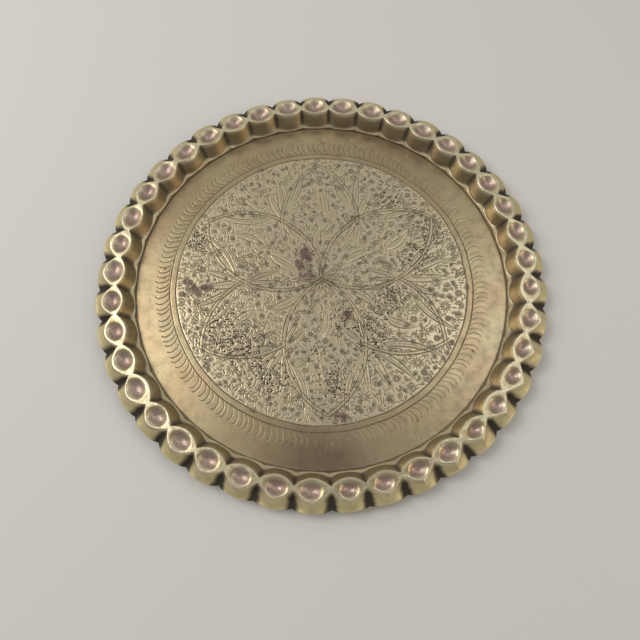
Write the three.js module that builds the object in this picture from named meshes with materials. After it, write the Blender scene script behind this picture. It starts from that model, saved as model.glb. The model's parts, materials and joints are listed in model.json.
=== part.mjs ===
// A large round tray of sheet brass, in millimetres, +Z up.
// An engraved disc is the floor. A rim of 41 dimpled lobes stands on it: its foot is turned in
// over the disc and soldered down, its wall is fluted, and its flange is turned out and down to a
// scalloped lip. Behind the rim a strap is soldered to the wall, and a ring swings in the strap.
// The origin is the middle of the disc's underside, and the hanger is on the +Y side.
import * as THREE from "three";

// Overall sizes.
const DIAMETER = 580; // across the lobes at the lip
const RIM_HEIGHT = 23.5; // from the disc's face to the top of the rim
const LOBES = 41;

// Sheet and soldered joints.
const DISC_SHEET = 1.2;
const RIM_SHEET = 1.2;
const HEM = 2.2; // the lip is folded back on itself, so it is thicker than the sheet
const SOLDER_GAP = 0.3; // left between pieces that are soldered together

// The rim's widths, each measured across the rim from the circle through the necks.
const SKIRT_OUT = 26; // necks to the lip at a lobe's middle
const NOTCH_OUT = 21.6; // necks to the lip in a notch between lobes
const EYE_OUT = 15.8; // necks to the outer ridge of a dimple
const EYE_IN = 11.1; // necks to the inner ridge of a dimple
const NECK_HALF = 1.6; // half the width of a neck between dimples
const WALL_IN = 17.4; // necks to the wall's bottom at a lobe's middle
const GROOVE_IN = 13.2; // necks to the wall's bottom in a groove between flutes
const FOOT_LEDGE = 2.6; // the wall's bottom at a lobe's middle to the foot's inner edge
const SKIRT_FALL = 3.7; // outer ridge of a dimple to the skirt's bend below it
const NOTCH_BEND_OUT = 12; // necks to the skirt's bend in a notch

// The rim's depths, each measured down from its top.
const DIMPLE_DEPTH = 5.8;
const LIP_DROP = 8.5; // at a lobe's middle
const NOTCH_DROP = 13; // in a notch between lobes
const SKIRT_BEND_DROP = 5;
const NOTCH_BEND_DROP = 6.5;
const GROOVE_RISE = 2.5; // how far the foot rises into a groove between flutes

// The hanger.
const STRAP_SHEET = 1.2;
const STRAP_WIDTH = 7;
const STRAP_END_GAP = 3.5; // from each end of the strap to the same end of the wall
const RING_WIRE = 3;
const RING_DIAMETER = 22; // across the middle of the wire
const RING_CLEARANCE = 0.35; // between the ring's wire and the strap
const REST_CLEARANCE = 0.2; // below the ring where it hangs

// How finely the curved pieces are cut.
const STEPS_PER_LOBE = 6;
const DISC_SEGMENTS = 4 * LOBES;
const RING_SEGMENTS = 32;
const WIRE_SIDES = 12;
const HUMP_STEPS = 8;
const SHARPEST_MITRE = 0.6; // cosine past which a bend's under face is set back no further

// Sizes that follow from those above.
const PITCH = (2 * Math.PI) / LOBES;
const STEP = PITCH / STEPS_PER_LOBE;
const NECK_RADIUS = DIAMETER / 2 - SKIRT_OUT;
const DISC_RADIUS = NECK_RADIUS - GROOVE_IN;
const FOOT_EDGE = -WALL_IN - FOOT_LEDGE;
const FOOT_TOP = DISC_SHEET + SOLDER_GAP + RIM_SHEET;
const TOP = DISC_SHEET + RIM_HEIGHT;
const WALL_RUN = WALL_IN - EYE_IN; // how far the wall leans out at a lobe's middle
const WALL_RISE = TOP - FOOT_TOP;
const WALL_LEAN = Math.atan2(WALL_RUN, WALL_RISE);
const WALL_MIDDLE_IN = (WALL_IN + EYE_IN) / 2;
const WALL_MIDDLE = (FOOT_TOP + TOP) / 2;
const STRAP_HALF = Math.hypot(WALL_RUN, WALL_RISE) / 2 - STRAP_END_GAP;

// The flute's back curves towards the strap at the edges of its feet, so the strap's middle is
// further from the wall.
const FLUTE_CURVE =
  ((EYE_IN - NECK_HALF) * (2 / STEPS_PER_LOBE) ** 2 * STRAP_WIDTH) /
  (2 * NECK_RADIUS * STEP);
const STRAP_SEAT = SOLDER_GAP + FLUTE_CURVE;

// The ring bends away from its hinge within the strap's width, and the hump has room for that.
const RING_BEND =
  RING_DIAMETER / 2 - Math.hypot(RING_DIAMETER / 2, STRAP_WIDTH / 2);
const HUMP_RADIUS = RING_WIRE / 2 - RING_BEND + RING_CLEARANCE;
const HINGE_OUT = STRAP_SEAT + HUMP_RADIUS;
const HINGE_FROM_FACE = RIM_SHEET + HINGE_OUT;
const HINGE_Y =
  NECK_RADIUS - WALL_MIDDLE_IN + HINGE_FROM_FACE * Math.cos(WALL_LEAN);
const HINGE_HEIGHT = WALL_MIDDLE - HINGE_FROM_FACE * Math.sin(WALL_LEAN);
const RING_DROOP = Math.asin(
  (HINGE_HEIGHT - RING_WIRE / 2 - REST_CLEARANCE) / RING_DIAMETER,
);

const X_AXIS = new THREE.Vector3(1, 0, 0);
const Y_AXIS = new THREE.Vector3(0, 1, 0);
const Z_AXIS = new THREE.Vector3(0, 0, 1);

// The rim's upper face from the foot to the lip. Each row says where the sheet is at a lobe's
// middle and at a neck: out from the circle through the necks, and up.
const RIM_ROWS = [
  { middle: [FOOT_EDGE, FOOT_TOP], neck: [FOOT_EDGE, FOOT_TOP] },
  { middle: [-WALL_IN, FOOT_TOP], neck: [-GROOVE_IN, FOOT_TOP + GROOVE_RISE] },
  {
    middle: [-WALL_MIDDLE_IN, WALL_MIDDLE],
    neck: [-(GROOVE_IN + NECK_HALF) / 2, WALL_MIDDLE],
  },
  { middle: [-EYE_IN, TOP], neck: [-NECK_HALF, TOP] },
  { middle: [(EYE_OUT - EYE_IN) / 2, TOP - DIMPLE_DEPTH], neck: [0, TOP] },
  { middle: [EYE_OUT, TOP], neck: [NECK_HALF, TOP] },
  {
    middle: [EYE_OUT + SKIRT_FALL, TOP - SKIRT_BEND_DROP],
    neck: [NOTCH_BEND_OUT, TOP - NOTCH_BEND_DROP],
  },
  { middle: [SKIRT_OUT, TOP - LIP_DROP], neck: [NOTCH_OUT, TOP - NOTCH_DROP] },
];
const LAST_ROW = RIM_ROWS.length - 1;

// How far a place is from its lobe's middle, from 0 there to 1 at a neck, rising as a parabola.
function towardsNeck(angle) {
  const lobes = (angle - Math.PI / 2) / PITCH;
  return (2 * (lobes - Math.round(lobes))) ** 2;
}

function rimPoint(row, angle) {
  const { middle, neck } = RIM_ROWS[row];
  const share = towardsNeck(angle);
  const radius = NECK_RADIUS + THREE.MathUtils.lerp(middle[0], neck[0], share);
  const height = THREE.MathUtils.lerp(middle[1], neck[1], share);
  return new THREE.Vector3(
    radius * Math.cos(angle),
    radius * Math.sin(angle),
    height,
  );
}

// Where the sheet's under face is below a point of its upper face. Where the sheet bends, the
// under face is set back a little further, so that the sheet keeps its thickness on both sides.
function underPoint(row, angle) {
  const here = rimPoint(row, angle);
  const back = rimPoint(Math.max(row - 1, 0), angle);
  const on = rimPoint(Math.min(row + 1, LAST_ROW), angle);
  const round = rimPoint(row, angle - STEP).sub(rimPoint(row, angle + STEP));
  const normals = [here.clone().sub(back), on.clone().sub(here)]
    .filter((run) => run.length() > 0)
    .map((run) => round.clone().cross(run).normalize());
  const normal = normals.reduce((a, b) => a.clone().add(b)).normalize();
  const mitre = 1 / Math.max(normal.dot(normals[0]), SHARPEST_MITRE);
  const thickness = row === LAST_ROW ? HEM : RIM_SHEET;
  return here.addScaledVector(normal, -thickness * mitre);
}

function flutedRim() {
  const placeholder = RIM_ROWS.map((row, i) => new THREE.Vector2(1, i));
  const profile = [...placeholder, ...placeholder, placeholder[0]];
  const steps = LOBES * STEPS_PER_LOBE;
  const geometry = new THREE.LatheGeometry(profile, steps);
  const position = geometry.attributes.position;
  for (let step = 0; step <= steps; step++) {
    const angle = Math.PI / 2 + ((step % steps) / steps) * 2 * Math.PI;
    const upper = RIM_ROWS.map((_, row) => rimPoint(row, angle)).reverse();
    const under = RIM_ROWS.map((_, row) => underPoint(row, angle));
    [...under, ...upper, under[0]].forEach((p, i) =>
      position.setXYZ(step * profile.length + i, p.x, p.y, p.z),
    );
  }
  geometry.computeVertexNormals();
  return geometry;
}

function engravedDisc() {
  const outline = [
    new THREE.Vector2(0, 0),
    new THREE.Vector2(DISC_RADIUS, 0),
    new THREE.Vector2(DISC_RADIUS, DISC_SHEET),
    new THREE.Vector2(0, DISC_SHEET),
  ];
  return new THREE.LatheGeometry(outline, DISC_SEGMENTS).rotateX(Math.PI / 2);
}

// The strap in a frame on the wall's back: x outwards from the wall, y up it. A half-round hump
// over the ring's wire stands between two flat feet.
function hangerStrap() {
  const inner = HUMP_RADIUS;
  const outer = inner + STRAP_SHEET;
  const face = STRAP_SEAT + STRAP_SHEET;
  const end = STRAP_HALF;
  const outline = new THREE.Shape();
  outline.moveTo(STRAP_SEAT, -end);
  outline.lineTo(face, -end);
  outline.lineTo(face, -outer);
  outline.lineTo(HINGE_OUT, -outer);
  outline.absarc(HINGE_OUT, 0, outer, -Math.PI / 2, Math.PI / 2);
  outline.lineTo(face, outer);
  outline.lineTo(face, end);
  outline.lineTo(STRAP_SEAT, end);
  outline.lineTo(STRAP_SEAT, inner);
  outline.lineTo(HINGE_OUT, inner);
  outline.absarc(HINGE_OUT, 0, inner, Math.PI / 2, -Math.PI / 2, true);
  outline.lineTo(STRAP_SEAT, -inner);
  const geometry = new THREE.ExtrudeGeometry(outline, {
    depth: STRAP_WIDTH,
    curveSegments: HUMP_STEPS,
    bevelEnabled: false,
  });
  return geometry
    .translate(0, 0, -STRAP_WIDTH / 2)
    .applyMatrix4(new THREE.Matrix4().makeBasis(Y_AXIS, Z_AXIS, X_AXIS));
}

// The ring lies flat, with its hinge at the origin and its middle out along +Y.
function hangingRing() {
  const wire = [];
  for (let side = 0; side <= WIRE_SIDES; side++) {
    const turn = ((side % WIRE_SIDES) / WIRE_SIDES) * 2 * Math.PI;
    wire.push(
      new THREE.Vector2(
        RING_DIAMETER / 2 + (RING_WIRE / 2) * Math.cos(turn),
        (RING_WIRE / 2) * Math.sin(turn),
      ),
    );
  }
  return new THREE.LatheGeometry(wire, RING_SEGMENTS)
    .rotateX(Math.PI / 2)
    .translate(0, RING_DIAMETER / 2, 0);
}

function brassPiece(name, geometry, color, roughness) {
  const metal = new THREE.MeshStandardMaterial({
    color,
    roughness,
    metalness: 1,
  });
  const piece = new THREE.Mesh(geometry, metal);
  piece.name = name;
  return piece;
}

const tray = new THREE.Group();
tray.add(brassPiece("engraved_disc", engravedDisc(), 0x9a875a, 0.42));
tray.add(brassPiece("fluted_rim", flutedRim(), 0xa8925c, 0.34));

// The strap stands in the back of the flute at +Y, half-way up the wall and square to it.
const strapSeat = new THREE.Group();
strapSeat.position.set(
  0,
  NECK_RADIUS - WALL_MIDDLE_IN + RIM_SHEET * Math.cos(WALL_LEAN),
  WALL_MIDDLE - RIM_SHEET * Math.sin(WALL_LEAN),
);
strapSeat.rotation.x = -WALL_LEAN;
strapSeat.add(brassPiece("hanger_strap", hangerStrap(), 0xa98f52, 0.4));
tray.add(strapSeat);

// The ring hangs from its hinge until its far side almost reaches what the tray stands on.
const ringHinge = new THREE.Group();
ringHinge.position.set(0, HINGE_Y, HINGE_HEIGHT);
ringHinge.rotation.x = -RING_DROOP;
ringHinge.add(brassPiece("hanging_ring", hangingRing(), 0xb0935a, 0.38));
tray.add(ringHinge);

export default tray;
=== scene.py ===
"""A large round tray of aged sheet brass: hand-engraved floor, fluted wall, rim of dimpled lobes.

Every piece is in metres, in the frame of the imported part. Sizes named without a unit are in
millimetres, as a maker measures them, and MM turns them into metres.
"""

import json
import math

import bmesh
import bpy
import numpy as np
from mathutils import Euler, Matrix, Vector


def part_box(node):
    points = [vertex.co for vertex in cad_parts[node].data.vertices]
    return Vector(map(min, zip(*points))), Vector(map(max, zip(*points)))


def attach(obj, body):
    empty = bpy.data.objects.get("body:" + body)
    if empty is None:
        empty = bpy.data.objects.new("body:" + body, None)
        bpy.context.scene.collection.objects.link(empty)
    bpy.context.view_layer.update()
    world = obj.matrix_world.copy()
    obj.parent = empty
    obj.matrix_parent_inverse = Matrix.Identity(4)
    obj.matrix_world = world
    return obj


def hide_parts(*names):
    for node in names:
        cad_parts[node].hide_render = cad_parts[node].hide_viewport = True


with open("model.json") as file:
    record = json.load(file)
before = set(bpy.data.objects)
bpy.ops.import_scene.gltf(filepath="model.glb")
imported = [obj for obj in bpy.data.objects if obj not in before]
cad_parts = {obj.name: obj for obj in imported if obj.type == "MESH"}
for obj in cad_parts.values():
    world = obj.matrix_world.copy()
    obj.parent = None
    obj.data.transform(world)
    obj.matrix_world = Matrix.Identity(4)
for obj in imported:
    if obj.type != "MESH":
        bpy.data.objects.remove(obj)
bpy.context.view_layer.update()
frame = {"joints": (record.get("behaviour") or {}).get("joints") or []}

MM = 0.001
SEED = 1907

# The rim, measured as a metalworker would: out from the circle through the necks, and up.
LOBES = 41
PITCH = 2 * math.pi / LOBES
FIRST_LOBE = math.pi / 2  # a lobe's middle is above the hanging ring
LIP_OUT, NOTCH_OUT = 26.0, 21.6
RIDGE_IN, RIDGE_OUT, NECK_HALF = 11.1, 15.8, 2.3
WALL_IN, GROOVE_IN = 17.4, 10.8
LEDGE = 2.6
GROOVE_RISE = 3.2
LIP_DROP, NOTCH_DROP = 8.5, 13.0
BEND_OUT, NOTCH_BEND_OUT = 20.2, 8.8
BEND_DROP, NOTCH_BEND_DROP = 4.6, 8.6
BOWL_DEPTH, BOWL_LONG, BOWL_WIDE = 6.3, 12.6, 10.4
SHEET = 1.15
HEM = 1.1  # how far the lip's edge curls under
HEM_CURL = math.pi * 0.93
LIP_SLOPE = math.radians(48)  # the skirt's slope where it reaches the lip
CREST_LIFT = 0.4  # rounding takes this much off the ridges, so they start higher

rim_low, rim_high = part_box("fluted_rim")
disc_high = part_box("engraved_disc")[1]
TOP = rim_high.z / MM
FACE = disc_high.z / MM
FOOT_TOP = FACE + 1.5
NECK_RADIUS = rim_high.y / MM - LIP_OUT
DISC_RADIUS = disc_high.x / MM


# ------------------------ meshes


def finish_piece(name, mesh, material, body, stands_for=()):
    """Makes a mesh one of the tray's pieces."""
    piece = bpy.data.objects.new(name, mesh)
    bpy.context.scene.collection.objects.link(piece)
    mesh.materials.clear()
    mesh.materials.append(material)
    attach(piece, body)
    if stands_for:
        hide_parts(*stands_for)
    return piece


def unit_grid(columns, rows):
    """A grid of faces, and each vertex's place in it, from 0 to 1 both ways."""
    bm = bmesh.new()
    bmesh.ops.create_grid(bm, x_segments=columns, y_segments=rows, size=0.5)
    return bm, np.array([v.co[:2] for v in bm.verts]).T + 0.5


def as_mesh(bm, name):
    mesh = bpy.data.meshes.new(name)
    bm.to_mesh(mesh)
    bm.free()
    return mesh


def places(mesh):
    """Where each vertex is, in millimetres."""
    spots = np.zeros(len(mesh.vertices) * 3)
    mesh.vertices.foreach_get("co", spots)
    return spots.reshape(-1, 3).T / MM


def place(bm, points):
    """Moves each vertex of a bmesh to its place, given in millimetres."""
    for vertex, point in zip(bm.verts, points * MM):
        vertex.co = point


def smooth_rows(rows, spread):
    """Rounds the corners along each row of points, as hammered sheet has no sharp corner."""
    reach = int(3 * spread)
    weights = np.exp(-0.5 * (np.arange(-reach, reach + 1) / spread) ** 2)
    weights /= weights.sum()
    padded = np.pad(rows, ((0, 0), (reach, reach)), mode="edge")
    out = np.zeros_like(rows)
    for i, weight in enumerate(weights):
        out += weight * padded[:, i : i + rows.shape[1]]
    return out


def paint(mesh, name, values):
    """Stores one number for each vertex, for a material to read."""
    layer = mesh.attributes.new(name, "FLOAT", "POINT")
    layer.data.foreach_set("value", np.asarray(values, np.float32).ravel())


# ------------------------ the rim

LOBE_STEPS = 30  # columns of faces in each lobe
DENSE = 0.17  # spacing of the rows before the corners are rounded
SOFT, CRISP = 8.0, 1.6  # how far the corners are rounded, in rows: most of the rim, and the lip
POINTED_TOWARDS = math.radians(-62)


def rim_columns():
    """The phase of each column in its lobe, from -1 to 1, and the column's own measures."""
    dice = np.random.default_rng(SEED)
    phase = np.tile(-1 + 2 * np.arange(LOBE_STEPS) / LOBE_STEPS, LOBES)
    lobe = np.repeat(np.arange(LOBES), LOBE_STEPS)
    neck = np.where(phase < 0, lobe, (lobe + 1) % LOBES)
    share = phase**2

    def hand(spread_middle, spread_neck):
        """A measure's small error, its own at each lobe's middle and at each neck."""
        middle = dice.normal(0, spread_middle, LOBES).clip(-2 * spread_middle, 2 * spread_middle)
        at_neck = dice.normal(0, spread_neck, LOBES).clip(-2 * spread_neck, 2 * spread_neck)
        return middle[lobe] * (1 - share) + at_neck[neck] * share

    turn = dice.normal(0, 0.0022, LOBES).clip(-0.004, 0.004)
    angle = FIRST_LOBE + (lobe + phase / 2) * PITCH + turn[neck] * np.abs(phase)
    return phase, lobe, share, angle, hand, dice


def rim_surface():
    """The rim's upper face as rows of points for each column, from the foot's edge to the lip."""
    phase, lobe, share, angle, hand, dice = rim_columns()
    round_share = (1 - np.sqrt(1 - (0.9 * phase) ** 2)) / (1 - math.sqrt(1 - 0.81))
    flute = 0.35 * share + 0.65 * round_share
    centre_angle = FIRST_LOBE + lobe * PITCH
    # The lobes at the lower right were struck with a narrower stake, so they come to a point.
    pointed = np.clip((np.cos(centre_angle - POINTED_TOWARDS) - 0.35) / 0.45, 0, 1)
    tip = 2.0 - 0.78 * pointed - 0.15 * dice.uniform(0, 1, LOBES)[lobe] * pointed
    outer = np.abs(phase) ** tip

    def between(middle, at_neck, by):
        return middle + (at_neck - middle) * by

    def point(out, up):
        """One point of each column's section: how far out from the necks, and how high."""
        return np.stack(np.broadcast_arrays(out, up), -1)

    groove, scallop = np.abs(phase) ** 2.4, np.abs(phase) ** 2.5
    wall_in, groove_in = (WALL_IN + RIDGE_IN) / 2 + 0.3, (GROOVE_IN + NECK_HALF) / 2
    crest_top = TOP + CREST_LIFT
    foot = point(-WALL_IN - LEDGE + hand(0.25, 0.25), FOOT_TOP)
    bottom = point(
        between(-WALL_IN, -GROOVE_IN, groove) + hand(0.5, 0.5), FOOT_TOP + GROOVE_RISE * groove
    )
    middle = point(between(-wall_in, -groove_in, flute) + hand(0.35, 0.5), (FOOT_TOP + TOP) / 2)
    ridge = point(
        between(-RIDGE_IN, -NECK_HALF, share) + hand(0.6, 0.35), crest_top + hand(0.35, 0.35)
    )
    crest = point(
        between(RIDGE_OUT, NECK_HALF, outer) + hand(0.7, 0.35), crest_top + hand(0.35, 0.35)
    )
    bend = point(
        between(BEND_OUT, NOTCH_BEND_OUT, outer) + hand(0.6, 0.8),
        TOP - between(BEND_DROP, NOTCH_BEND_DROP, outer) + hand(0.5, 0.8),
    )
    lip = point(
        between(LIP_OUT, NOTCH_OUT, scallop) + hand(0.5, 0.6),
        TOP - between(LIP_DROP, NOTCH_DROP, scallop) + hand(0.5, 0.7),
    )

    def line(a, b, length, curve=None):
        """Points from a to b, about the dense spacing apart, pulled towards a third point."""
        t = np.linspace(0, 1, int(length / DENSE) + 1)[None, :-1, None]
        a, b = a[:, None], b[:, None]
        if curve is None:
            return a + (b - a) * t
        return (1 - t) ** 2 * a + 2 * t * (1 - t) * curve[:, None] + t**2 * b

    wall_pull = 2 * middle - (bottom + ridge) / 2
    bend_pull = bend + 0.6 * (bend - (crest + lip) / 2)
    bowl_shift = dice.normal(0, 0.7, (LOBES, 2))[lobe]
    at_right = np.clip(np.cos(centre_angle + 0.7), 0, 1)
    bowl_size = (1 + dice.normal(0, 0.04, LOBES)[lobe]) * (1 - 0.2 * at_right)
    bowl_depth = BOWL_DEPTH * (1 + dice.normal(0, 0.09, LOBES)[lobe])

    steps = int((RIDGE_IN + RIDGE_OUT) / DENSE) + 1
    t = np.linspace(0, 1, steps)[None, :-1]
    out = ridge[:, :1] + (crest[:, :1] - ridge[:, :1]) * t
    up = ridge[:, 1:] + (crest[:, 1:] - ridge[:, 1:]) * t
    along = (phase * PITCH / 2 * NECK_RADIUS)[:, None]
    middle_out = (RIDGE_OUT - RIDGE_IN) / 2 - 0.3
    inside = 1 - (
        ((along - bowl_shift[:, :1]) / (BOWL_LONG * bowl_size[:, None])) ** 2
        + ((out - middle_out - bowl_shift[:, 1:] * 0.6) / (BOWL_WIDE * bowl_size[:, None])) ** 2
    )
    sunk = 0.5 * (inside + np.sqrt(inside**2 + 0.1))
    slack = 0.4 * np.clip(1 - np.abs(2 * t - 1) ** 2, 0, None) * np.abs(phase)[:, None]
    dish = np.stack([out, up - bowl_depth[:, None] * sunk - slack + 0.08], -1)

    swing = LIP_SLOPE + HEM_CURL * np.linspace(0, 1, 28)[None, :, None]
    curl = [np.sin(swing) - math.sin(LIP_SLOPE), np.cos(swing) - math.cos(LIP_SLOPE)]
    hem = lip[:, None] + HEM * np.concatenate(curl, -1)

    parts = [
        line(foot, bottom, 3.4),
        line(bottom, ridge, 23.0, wall_pull),
        dish,
        line(crest, lip, 13.5, bend_pull),
        hem,
    ]
    counts = [part.shape[1] for part in parts]
    rows = np.concatenate(parts, 1)
    soft, crisp = (
        np.stack([smooth_rows(rows[..., i], spread) for i in (0, 1)], -1)
        for spread in (SOFT, CRISP)
    )
    to_lip = sum(counts[:3]) + 0.6 * counts[3]
    share_crisp = np.clip((np.arange(rows.shape[1]) - to_lip) / (0.3 * counts[3]), 0, 1)
    share_crisp = share_crisp[None, :, None]
    rounded = soft * (1 - share_crisp) + crisp * share_crisp
    depth = np.zeros(rows.shape[:2])
    first = counts[0] + counts[1]
    depth[:, first : first + counts[2]] = np.clip(sunk, 0, 1)
    return rounded, counts, angle, phase, depth


def chosen_rows(counts, wanted):
    """Which of the dense rows are kept: so many from each part, closer together at the ridges."""
    kept, first = [], 0
    for count, number in zip(counts, wanted):
        t = np.linspace(0, 1, number + 1)[:-1]
        eased = t - 0.1 * np.sin(2 * math.pi * t)
        kept.append(first + np.round(eased * count).astype(int))
        first += count
    return np.unique(np.concatenate(kept + [[first - 1]]))


def in_space(rows, angle):
    radius = NECK_RADIUS + rows[..., 0]
    angle = angle[:, None]
    return np.stack([radius * np.cos(angle), radius * np.sin(angle), rows[..., 1]], -1)


def unit(vectors):
    return vectors / np.maximum(np.linalg.norm(vectors, axis=-1, keepdims=True), 1e-9)


def under_face(upper):
    """The sheet's under face, set back along the normal, and a little more where it bends."""
    along = [upper - np.roll(upper, 1, 0), np.roll(upper, -1, 0) - upper]
    across = [np.diff(upper, axis=1, prepend=2 * upper[:, :1] - upper[:, 1:2])]
    across.append(np.diff(upper, axis=1, append=2 * upper[:, -1:] - upper[:, -2:-1]))
    normals = [unit(np.cross(b, a)) for a in along for b in across]
    mean = unit(sum(normals))
    flattest = np.min([np.sum(mean * n, -1) for n in normals], 0)
    return upper - mean * (SHEET / np.maximum(flattest, 0.62))[..., None]


def fluted_rim(material):
    rows, counts, angle, phase, depth = rim_surface()
    fine = chosen_rows(counts, (3, 11, 18, 9, 6))
    coarse = chosen_rows(counts[:4] + [2], (1, 4, 7, 5, 1))[::-1]
    upper = in_space(rows[:, fine], angle)
    lower = under_face(in_space(rows[:, coarse[::-1]], angle))[:, ::-1]
    loop = np.concatenate([upper, lower], 1)
    loop = np.clip(loop, np.array(rim_low) / MM, np.array(rim_high) / MM)
    columns, around = loop.shape[0], loop.shape[1]
    bm, (u, v) = unit_grid(columns, around)
    column = np.round(u * columns).astype(int) % columns
    row = np.round(v * around).astype(int) % around
    place(bm, loop[column, row])
    # What the material reads: the bowl's depth, the nearness of a groove, and which part this is.
    plain_back = np.zeros((columns, len(coarse)))
    across_lobe = np.tile(np.abs(phase)[:, None], (1, len(fine)))
    edges = np.cumsum([0] + counts)
    stage = np.interp(np.arange(edges[-1]), edges, np.arange(len(edges)))
    layers = {
        "bowl": np.concatenate([depth[:, fine], plain_back], 1),
        "groove": np.concatenate([across_lobe, plain_back], 1),
        "part": np.tile(np.concatenate([stage[fine], np.full(len(coarse), 6.0)]), (columns, 1)),
    }
    keys = {name: bm.verts.layers.float.new(name) for name in layers}
    for vertex, c, r in zip(bm.verts, column, row):
        for name, key in keys.items():
            vertex[key] = layers[name][c, r]
    bmesh.ops.remove_doubles(bm, verts=bm.verts, dist=0.01 * MM)
    bmesh.ops.recalc_face_normals(bm, faces=bm.faces)
    for face in bm.faces:
        face.smooth = True
    mesh = as_mesh(bm, "fluted_rim_sheet")
    return finish_piece(mesh.name, mesh, material, "tray", ["fluted_rim"])


# ------------------------ the engraving

# The engraver's plan, on the disc's face: how deep each place is cut, in millimetres.
PLAN_STEP = 0.3
PLAN_HALF = 222.0
PLAN_CELLS = int(2 * PLAN_HALF / PLAN_STEP)
COARSE = 4  # cells of the plan along each side of a cell that keeps whether a place is taken
COARSE_STEP = COARSE * PLAN_STEP
CUT_REACH = 3  # cells that the widest cut reaches from its middle
UNIT = NECK_RADIUS
RING_INNER, RING_OUTER = 0.7274 * UNIT, 0.7575 * UNIT
BORDER_INNER, BORDER_OUTER = 0.766 * UNIT, 0.826 * UNIT
BORDER_STROKES = 176
PETALS = 6
PETAL_HALF_LENGTH, PETAL_HALF_WIDTH = 0.34 * UNIT, 0.1975 * UNIT
NODE_RADIUS = 0.395 * UNIT
BAND_HALF = 2.1  # half the width of the plain bands that outline the petals
GROUND_SUNK = 0.2
# A graver's cuts are really 0.2 to 0.4 wide: they are drawn coarser here, so that they show.
LINE, DEEP = 0.44, 0.58
STAR_LEAVES = 14
FAN_TURN = 0.36  # between the leaves of a fan
FILL_PITCH, STROKE_PITCH, PUNCH_PITCH = 8.8, 3.5, 3.3


def cells_near(x, y, reach):
    """The plan's cells round each point: row, column, distance, and whether the plan has it."""
    column, row = (x + PLAN_HALF) / PLAN_STEP, (y + PLAN_HALF) / PLAN_STEP
    for i in range(-reach, reach + 1):
        for j in range(-reach, reach + 1):
            r, c = np.round(row).astype(int) + i, np.round(column).astype(int) + j
            inside = (r >= 0) & (c >= 0) & (r < PLAN_CELLS) & (c < PLAN_CELLS)
            yield r, c, np.hypot(r - row, c - column) * PLAN_STEP, inside


class Graver:
    """Collects the graver's cuts, then sinks them all into the plan."""

    def __init__(self):
        self.cuts = []
        self.taken = np.zeros((PLAN_CELLS // COARSE + 1,) * 2, bool)
        self.spared = []

    def spare(self, points, radii):
        """Leaves the metal between two edges uncut and at its full height."""
        for (x, y), radius in zip(points, radii):
            self.spared.append((x, y, radius))
            self.claim(x, y, int(radius / COARSE_STEP) + 1)

    def line(self, points, width=0.62, depth=LINE, tapered=True, claims=True):
        points = np.asarray(points, float)
        steps = np.hypot(*np.diff(points, axis=0).T)
        reach = np.concatenate([[0], np.cumsum(steps)])
        t = np.linspace(0, 1, max(3, int(reach[-1] / 0.34)))
        x = np.interp(t * reach[-1], reach, points[:, 0])
        y = np.interp(t * reach[-1], reach, points[:, 1])
        swell = np.ones_like(t)
        if tapered:
            swell = 0.45 + 0.55 * np.sin(math.pi * np.clip(t, 0.02, 0.98))
        self.cuts.append(np.stack([x, y, width * swell, depth * swell], -1))
        if claims:
            self.claim(x, y, 1)

    def cell(self, x, y, up=0, along=0):
        """The coarse cell that keeps whether a place is taken, or one some cells from it."""
        row, column = (((np.asarray(v) + PLAN_HALF) / COARSE_STEP).astype(int) for v in (y, x))
        top = self.taken.shape[0] - 1
        return np.clip(row + up, 0, top), np.clip(column + along, 0, top)

    def claim(self, x, y, reach):
        for up in range(-reach, reach + 1):
            for along in range(-reach, reach + 1):
                self.taken[self.cell(x, y, up, along)] = True

    def is_free(self, x, y):
        return not self.taken[self.cell(x, y)]

    def sink(self, plan):
        """Sinks every cut into the plan, each with a round bottom."""
        x, y, width, depth = np.concatenate(self.cuts).T
        for r, c, away, inside in cells_near(x, y, CUT_REACH):
            fall = depth * np.clip(1 - (away / width) ** 2, 0, None)
            inside &= fall > 0
            np.maximum.at(plan, (r[inside], c[inside]), fall[inside])

    def spare_on(self, band):
        x, y, radius = np.array(self.spared).T
        for r, c, away, inside in cells_near(x, y, int(radius.max() / PLAN_STEP) + 1):
            inside &= away < radius
            band[r[inside], c[inside]] = True


def turned(points, angle, at=(0, 0)):
    c, s = math.cos(angle), math.sin(angle)
    return np.asarray(points, float) @ np.array([[c, s], [-s, c]]) + np.asarray(at, float)


def at_polar(radius, angle):
    return np.array([radius * math.cos(angle), radius * math.sin(angle)])


def leaf(graver, root, angle, length, width, bow=0.0, veins=0):
    """A lance-shaped leaf: two edges that meet at root and tip, a midrib, and side veins."""
    t = np.linspace(0, 1, 14)
    mid = np.stack([t * length, bow * length * t * (1 - t) * 2], -1)
    half = width / 2 * np.sin(math.pi * t**0.8) ** 0.9
    for side in (-1, 1):
        graver.line(turned(mid + np.stack([0 * t, side * half], -1), angle, root), 0.85, LINE)
    graver.line(turned(mid[1:12], angle, root), 0.6, 0.24)
    fine = np.linspace(0.04, 0.96, 2 + int(length))
    along = turned(np.stack([np.interp(fine, t, mid[:, i]) for i in (0, 1)], -1), angle, root)
    graver.spare(along, 0.3 * np.interp(fine, t, half))
    for i in range(veins):
        k = 3 + i * 8 // max(veins, 1)
        for side in (-1, 1):
            vein = [mid[k], mid[k] + [width * 0.42, side * half[k] * 0.8]]
            graver.line(turned(vein, angle, root), 0.5, 0.2)


def rosette(graver, centre, radius, petals, turn):
    """Dashes round a point, like a daisy."""
    graver.spare([centre], [radius * 0.5])
    graver.claim(*centre, int(radius / COARSE_STEP))
    for i in range(petals):
        a = turn + 2 * math.pi * i / petals
        graver.line([centre + at_polar(radius * 0.22, a), centre + at_polar(radius, a)], 0.75, DEEP)


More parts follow.
